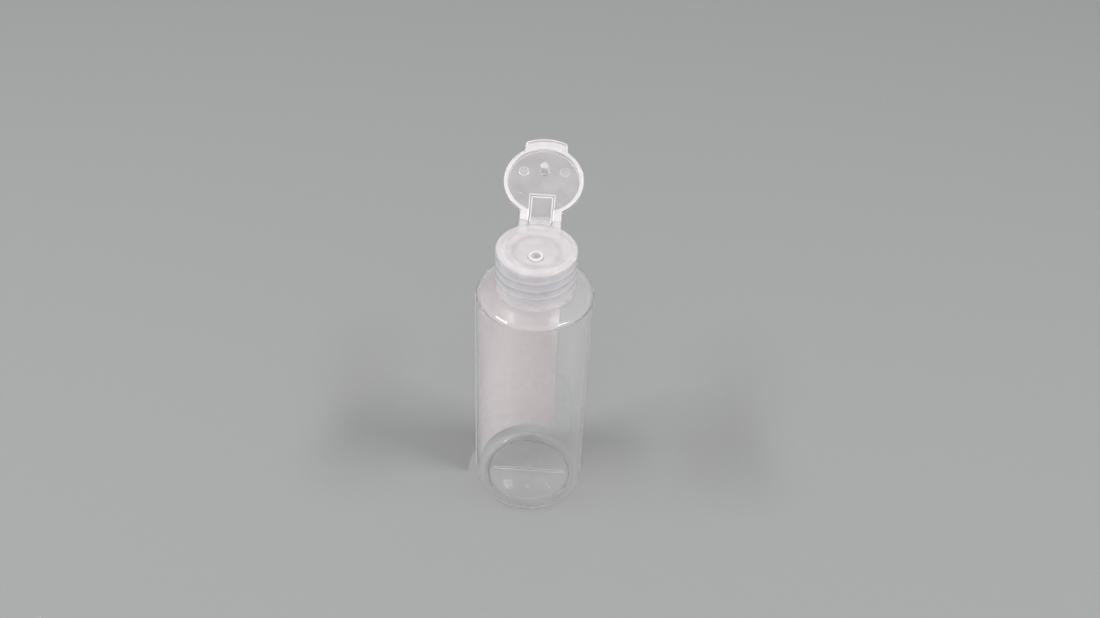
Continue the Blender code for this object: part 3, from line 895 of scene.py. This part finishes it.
def clearResin():
    material, tree, shader = newMaterial("clear_resin")
    look = clearResinLook
    coords = objectCoords(tree)
    haze = noise(tree, coords, look["hazeSize"], 3)
    wave = noise(tree, coords, look["waveSize"], 1.5)
    lines = noise(tree, objectCoords(tree, stretch=look["lineStretch"]), look["lineSize"], 2)
    dust = ranged(tree, haze, look["dustRange"], (0, 1))
    base = ranged(tree, separated(tree, coords)["Z"], look["baseFade"], look["baseClear"], True)
    through = summed(tree, ranged(tree, haze, look["hazeRange"], look["through"]), base)
    waved = bumped(tree, wave, look["waveHeight"], look["waveStrength"])
    plugAll(tree, shader, {
        "Base Color": mixed(tree, dust, look["clean"], look["dusty"]),
        "Roughness": ranged(tree, haze, look["hazeRange"], look["roughness"]),
        "Normal": bumped(tree, lines, look["lineHeight"], look["lineStrength"], waved),
        "IOR": look["ior"],
        "Transmission Weight": calculated(tree, "MINIMUM", through, 1),
    })
    letThrough(tree, shader, ("Is Diffuse Ray", "Is Shadow Ray"), look["passing"])
    return material


milkyLook = {
    "milk": (0.91, 0.88, 0.885),
    "shade": (0.87, 0.855, 0.86),
    "swirlSize": 4.5 * mm,
    "swirlRange": (0.35, 0.65),
    "cloudRange": (0.3, 0.7),
    "cloud": (-0.025, 0.025),     # what the swirls add to the share that passes
    "grainSize": 0.35 * mm,
    "grainRange": (0.3, 0.7),
    "grainHeight": 0.006 * mm,
    "grainStrength": 0.4,
    "scatter": 0.5,
    "scatterTint": (1, 0.95, 0.9),
    "scatterReach": 1.6 * mm,
    "ior": 1.49,
    "passing": (0.74, 0.72, 0.725),
}


def milkyResin(name, own, through, place=None, band=None):
    # own is the piece's dictionary, and through makes the share of light that passes
    material, tree, shader = newMaterial(name)
    look = milkyLook
    coords = objectCoords(tree, place)
    swirl = noise(tree, coords, look["swirlSize"], 3)
    grain = noise(tree, coords, look["grainSize"], 3)
    colour = mixed(tree, ranged(tree, swirl, look["swirlRange"], (0, 1)), look["milk"], look["shade"])
    # painted shade: where the band function marks, the colour turns to the piece's bluish band colour
    if band:
        colour = mixed(tree, band(tree, coords, own), colour, own["band"])
    cloud = ranged(tree, swirl, look["cloudRange"], look["cloud"])
    plugAll(tree, shader, {
        "Base Color": colour,
        "Roughness": ranged(tree, grain, look["grainRange"], own["roughness"]),
        "Normal": bumped(tree, grain, look["grainHeight"], look["grainStrength"]),
        "IOR": look["ior"],
        "Transmission Weight": summed(tree, through(tree, coords, own), cloud),
        "Subsurface Weight": look["scatter"],
        "Subsurface Radius": look["scatterTint"],
        "Subsurface Scale": look["scatterReach"],
    })
    letThrough(tree, shader, ("Is Shadow Ray",), look["passing"])
    return material


ringLook = {
    "roughness": (0.25, 0.35),
    "cloudSize": 1 * mm,
    "cloudRange": (0.3, 0.7),
    "through": (0.84, 0.9),
}
filmLook = {
    "roughness": (0.15, 0.2),
    "cloudSize": 2 * mm,
    "cloudRange": (0.3, 0.7),
    "through": (0.7, 0.78),
}


def throughPlain(tree, coords, look):
    return ranged(tree, noise(tree, coords, look["cloudSize"]), look["cloudRange"], look["through"])


capLook = {
    "roughness": (0.1, 0.16),
    "band": (0.76, 0.78, 0.82),   # painted shade, bluish grey, over each turn of the thread inside, where it makes the skirt thick
    "bandCentre": 0.25,           # in pitches over the middle of a turn
    "bandRange": (-0.1, 0.4),
    "bandThrough": -0.2,
    "lineCentre": -0.08,          # the lit lower flank of a turn
    "lineRange": (0.8, 0.97),
    "lineThrough": -0.28,
    "threadFoot": (85.2 * mm, 86.6 * mm),
    "threadTop": (94.2 * mm, 95.2 * mm),
    "skirt": 0.7,
    "deck": 0.76,
    "deckFade": (9.0 * mm, 10.0 * mm),
    "nozzle": -0.25,
    "nozzleFade": (0.35 * mm, 0.55 * mm),      # over the deck; the nozzle is milkier for its thickness and, partly, as a painted highlight
    "foot": -0.3,
    "footHighlightFade": (0.3 * mm, 0.5 * mm),          # over the closure's foot, a painted highlight line
    # painted highlight: fine bright lines along the ribs at the foot
    "ribs": 0.05,
    "ribFade": (0.2 * mm, 0.4 * mm),           # at the foot and at the top of the ribs
}


def threadMark(tree, coords, look, centre, reach):
    # 1 at a height of centre, in pitches, over the middle of each turn of the inner thread, 0 away from it
    along = separated(tree, coords)
    turn = calculated(tree, "MULTIPLY", calculated(tree, "ARCTAN2", along["Y"], along["X"]), 1 / math.tau)
    height = calculated(tree, "ADD", along["Z"], -capThreadTop)
    pitches = calculated(tree, "MULTIPLY", height, 1 / threadMake["pitch"])
    phase = calculated(tree, "SUBTRACT", calculated(tree, "SUBTRACT", pitches, turn), centre)
    wave = calculated(tree, "COSINE", calculated(tree, "MULTIPLY", phase, math.tau))
    foot = ranged(tree, along["Z"], look["threadFoot"], (0, 1), True)
    top = ranged(tree, along["Z"], look["threadTop"], (1, 0), True)
    mark = ranged(tree, wave, reach, (0, 1), True)
    return calculated(tree, "MULTIPLY", mark, calculated(tree, "MULTIPLY", foot, top))


def threadThickBandAndShade(tree, coords, look):
    # over each turn of the inner thread, where the skirt is thick; its mask also carries a painted shade
    return threadMark(tree, coords, look, look["bandCentre"], look["bandRange"])


def throughCap(tree, coords, look):
    # the thin deck lets more through than the skirt, and the skirt more between the thread's turns
    along = separated(tree, coords)
    line = threadMark(tree, coords, look, look["lineCentre"], look["lineRange"])
    skirt = summed(tree, calculated(tree, "MULTIPLY", threadThickBandAndShade(tree, coords, look), look["bandThrough"]),
                   calculated(tree, "MULTIPLY", line, look["lineThrough"]), look["skirt"])
    deck = ranged(tree, radiusOf(tree, coords), look["deckFade"], (0, 1), True)
    # the nozzle is made whiter, partly for its thickness and partly as a painted highlight on its crown
    nozzle = ranged(tree, along["Z"], [deckFloor + z for z in look["nozzleFade"]], (0, look["nozzle"]))
    # painted highlight: the foot is made whiter, a bright line along the closure's lower edge
    foot = ranged(tree, along["Z"], [capLow.z + z for z in look["footHighlightFade"]], (look["foot"], 0))
    # each rib is painted milkier than the grooves between, a painted highlight along it
    turn = calculated(tree, "ARCTAN2", along["Y"], along["X"])
    ribs = calculated(tree, "COSINE", calculated(tree, "MULTIPLY", turn, capMake["steps"] / 2))
    ribFoot, ribTop = capMake["ribFoot"], capMake["ribTop"]
    fadeIn = ranged(tree, along["Z"], (ribFoot, ribFoot + look["ribFade"][0]), (0, look["ribs"]), True)
    fadeOut = ranged(tree, along["Z"], (ribTop - look["ribFade"][1], ribTop), (1, 0), True)
    ribs = calculated(tree, "MULTIPLY", ribs, calculated(tree, "MULTIPLY", fadeIn, fadeOut))
    return summed(tree, mixed(tree, deck, look["deck"], skirt), summed(tree, nozzle, foot), ribs)


def edgeHighlight(tree, along, half, tip, fade, share):
    # painted highlight: white towards the borders of a panel that ends at x = +-half and y = tip
    wide = calculated(tree, "SUBTRACT", calculated(tree, "ABSOLUTE", along["X"]), half)
    deep = calculated(tree, "SUBTRACT", tip, along["Y"])
    return ranged(tree, calculated(tree, "MAXIMUM", wide, deep), fade, share, True)


def circleHighlight(tree, coords, centre, radius, width, share):
    # a thin painted highlight line round a circle
    reach = radiusOf(tree, vectored(tree, "SUBTRACT", coords, (*centre, 0)))
    off = calculated(tree, "SUBTRACT", reach, radius)
    return ranged(tree, calculated(tree, "ABSOLUTE", off), (0, width), (share, 0), True)


lidLook = {
    "roughness": (0.09, 0.14),
    "disc": 0.9,
    "rim": 0.66,
    "rimFade": (10.6 * mm, 11.0 * mm),
    "pin": 0.65,
    "pinFade": (-0.25 * mm, -0.05 * mm),       # from the disc's inner face
    "tab": 0.02,
    "tabFade": (-12.6 * mm, -12.3 * mm),
    # painted highlight along the window's thin edges
    "edge": -0.4,
    "edgeHighlightFade": (0.1125 * mm, 0.45 * mm),
    # painted highlight: a thin white ring round each ejector mark
    "circle": -0.2,
    "circleWidth": 0.14 * mm,
}


def throughLid(tree, coords, look):
    # clearest in the thin disc, milky in the rim, the pin and the lugs, a little clearer in the tab
    along = separated(tree, coords)
    rim = ranged(tree, radiusOf(tree, coords), look["rimFade"], (look["disc"], look["rim"]), True)
    pin = ranged(tree, along["Z"], [lidFloor + z for z in look["pinFade"]], (look["pin"], look["disc"]))
    tab = ranged(tree, along["Y"], look["tabFade"], (look["tab"], 0))
    # painted highlights: the window's thin edges and the rings round the ejector marks are made white
    edge = edgeHighlight(tree, along, hingeMake["strapInner"], windowEdge, look["edgeHighlightFade"], (look["edge"], 0))
    circles = [circleHighlight(tree, coords, centre, lidMake["ejectorRadius"],
                           look["circleWidth"], look["circle"]) for centre in lidMake["ejectors"]]
    return summed(tree, calculated(tree, "MINIMUM", rim, pin), tab, edge, *circles)


tongueLook = {
    "roughness": (0.08, 0.12),
    "panel": 0.91,
    # painted light: the root, which faces up, is made milkier to look lit from above
    "root": 0.7,
    "rootLitFade": (11.6 * mm, 13.0 * mm),
    # painted highlight along the tongue's free edges
    "edge": -0.45,
    "edgeHighlightFade": (-0.5 * mm, -0.15 * mm),
}


def throughTongue(tree, coords, look):
    along = separated(tree, coords)
    # painted light: milkier towards the root, to look lit from above
    panel = ranged(tree, along["Y"], look["rootLitFade"], (look["panel"], look["root"]), True)
    # painted highlight: white along the tongue's sides and tip
    edge = edgeHighlight(tree, along, hingeMake["tongueHalf"], tongueTip, look["edgeHighlightFade"], (0, look["edge"]))
    return summed(tree, panel, edge)


labelLook = {
    "paper": (0.905, 0.825, 0.845),
    "shade": (0.88, 0.81, 0.825),
    "patchSize": 12 * mm,
    "patchRange": (0.35, 0.65),
    "fibreSize": 0.25 * mm,
    "fibreRange": (0.3, 0.7),
    "fibreHeight": 0.004 * mm,
    "fibreStrength": 0.3,
    "roughness": (0.42, 0.6),
    "bubbles": 4.2 * mm,          # between places where air may be caught under the film
    "bubblePick": (0.8, 0.84),    # a place with less than this has none
    "bubbleReach": (0.12, 0.26),
    "bubbleHeight": 0.12 * mm,
    "bubbleStrength": 0.8,
}


def labelFilm():
    material, tree, shader = newMaterial("label_film")
    look = labelLook
    coords = objectCoords(tree)
    fibre = noise(tree, coords, look["fibreSize"], 4, 0.6)
    patch = ranged(tree, noise(tree, coords, look["patchSize"], 2), look["patchRange"], (0, 1))
    cells = tree.nodes.new("ShaderNodeTexVoronoi")
    plugAll(tree, cells, {"Vector": coords, "Scale": 1 / look["bubbles"]})
    pick = tree.nodes.new("ShaderNodeSeparateColor")
    plug(tree, pick.inputs["Color"], cells.outputs["Color"])
    bubble = calculated(tree, "MULTIPLY", ranged(tree, pick.outputs[0], look["bubblePick"], (0, 1)),
                        ranged(tree, cells.outputs["Distance"], look["bubbleReach"], (1, 0), True))
    blister = bumped(tree, bubble, look["bubbleHeight"], look["bubbleStrength"])
    plugAll(tree, shader, {
        "Base Color": mixed(tree, patch, look["paper"], look["shade"]),
        "Roughness": ranged(tree, fibre, look["fibreRange"], look["roughness"]),
        "Normal": bumped(tree, fibre, look["fibreHeight"], look["fibreStrength"], blister),
    })
    return material


shutPlace = opened.inverted()
makeBottle(clearResin())
makeLabel(labelFilm())
makeRing(milkyResin("ring_resin", ringLook, throughPlain))
makeCap(milkyResin("cap_resin", capLook, throughCap, band=threadThickBandAndShade))
makeLid(milkyResin("lid_resin", lidLook, throughLid, shutPlace))
makeTongue(milkyResin("tongue_resin", tongueLook, throughTongue, shutPlace))
makeFilms(milkyResin("film_resin", filmLook, throughPlain))
print("pieces made")

stageLook = {
    "floor": (0.25, 0.255, 0.255),
    "floorRadius": 2.5,
    "toothSize": 1.2 * mm,
    "toothRange": (0.3, 0.7),
    "roughness": (0.7, 0.85),
    "bright": (1.04, 1.02, 1.02),
    "dim": (0.365, 0.37, 0.375),
    "brightWay": (0.15, -0.75, 0.5),      # the room is brightest in front and above
    "brightRange": (-0.4, 0.9),
    "bounces": 20,                # light has to find its way through the clear walls and back
    "clearFaces": 32,
}
lights = {
    # azimuth from the front towards +X, elevation, distance, width, height, watts
    "left_box": (-77, 54, 0.9, 0.28, 0.1, 4.3),
    "right_box": (80, 58, 0.9, 0.28, 0.1, 4.0),
}
lightAim = Vector((0, 0, 0.06))
cameraLook = {
    "location": (13.684 * mm, -282.498 * mm, 324.251 * mm),
    "turn": (48.435, -2.024, 3.632),
    "lens": 41.423,
    "sensor": 36,
    "clip": (0.01, 20),
}


def makeFloor():
    look = stageLook
    work = bmesh.new()
    bmesh.ops.create_circle(work, cap_ends=True, radius=look["floorRadius"], segments=96)
    floor = newObject("floor", work)
    material, tree, shader = newMaterial("floor_paper")
    tooth = noise(tree, objectCoords(tree), look["toothSize"], 3)
    plugAll(tree, shader, {"Base Color": look["floor"],
                           "Roughness": ranged(tree, tooth, look["toothRange"], look["roughness"])})
    floor.data.materials.append(material)


def makeRoom():
    look = stageLook
    scene = bpy.context.scene
    world = bpy.data.worlds.new("studio")
    world.use_nodes = True
    tree = world.node_tree
    way = tree.nodes.new("ShaderNodeTexCoord")
    facing = vectored(tree, "DOT_PRODUCT", way.outputs["Generated"], look["brightWay"])
    share = ranged(tree, facing, look["brightRange"], (0, 1))
    plug(tree, tree.nodes["Background"].inputs["Color"], mixed(tree, share, look["dim"], look["bright"]))
    scene.world = world
    scene.view_settings.view_transform = "Standard"
    paths = scene.cycles
    paths.max_bounces = look["bounces"]
    paths.transmission_bounces = look["bounces"]
    paths.glossy_bounces = look["bounces"]
    paths.transparent_max_bounces = look["clearFaces"]
    paths.blur_glossy = 0
    paths.caustics_reflective = False


def makeLights():
    for name, (azimuth, elevation, distance, width, height, watts) in lights.items():
        turn, rise = math.radians(azimuth), math.radians(elevation)
        way = Vector((math.sin(turn) * math.cos(rise), -math.cos(turn) * math.cos(rise), math.sin(rise)))
        data = bpy.data.lights.new(name, "AREA")
        data.shape = "RECTANGLE"
        data.size = width
        data.size_y = height
        data.energy = watts
        lamp = bpy.data.objects.new(name, data)
        lamp.location = lightAim + way * distance
        lamp.rotation_euler = (-way).to_track_quat("-Z", "Y").to_euler()
        bpy.context.scene.collection.objects.link(lamp)


def makeCamera():
    data = bpy.data.cameras.new("camera")
    data.lens = cameraLook["lens"]
    data.sensor_width = cameraLook["sensor"]
    data.clip_start, data.clip_end = cameraLook["clip"]
    camera = bpy.data.objects.new("camera", data)
    camera.location = cameraLook["location"]
    camera.rotation_euler = [math.radians(turn) for turn in cameraLook["turn"]]
    bpy.context.scene.collection.objects.link(camera)
    bpy.context.scene.camera = camera


makeFloor()
makeRoom()
makeLights()
makeCamera()
print("stage, lights and camera made")
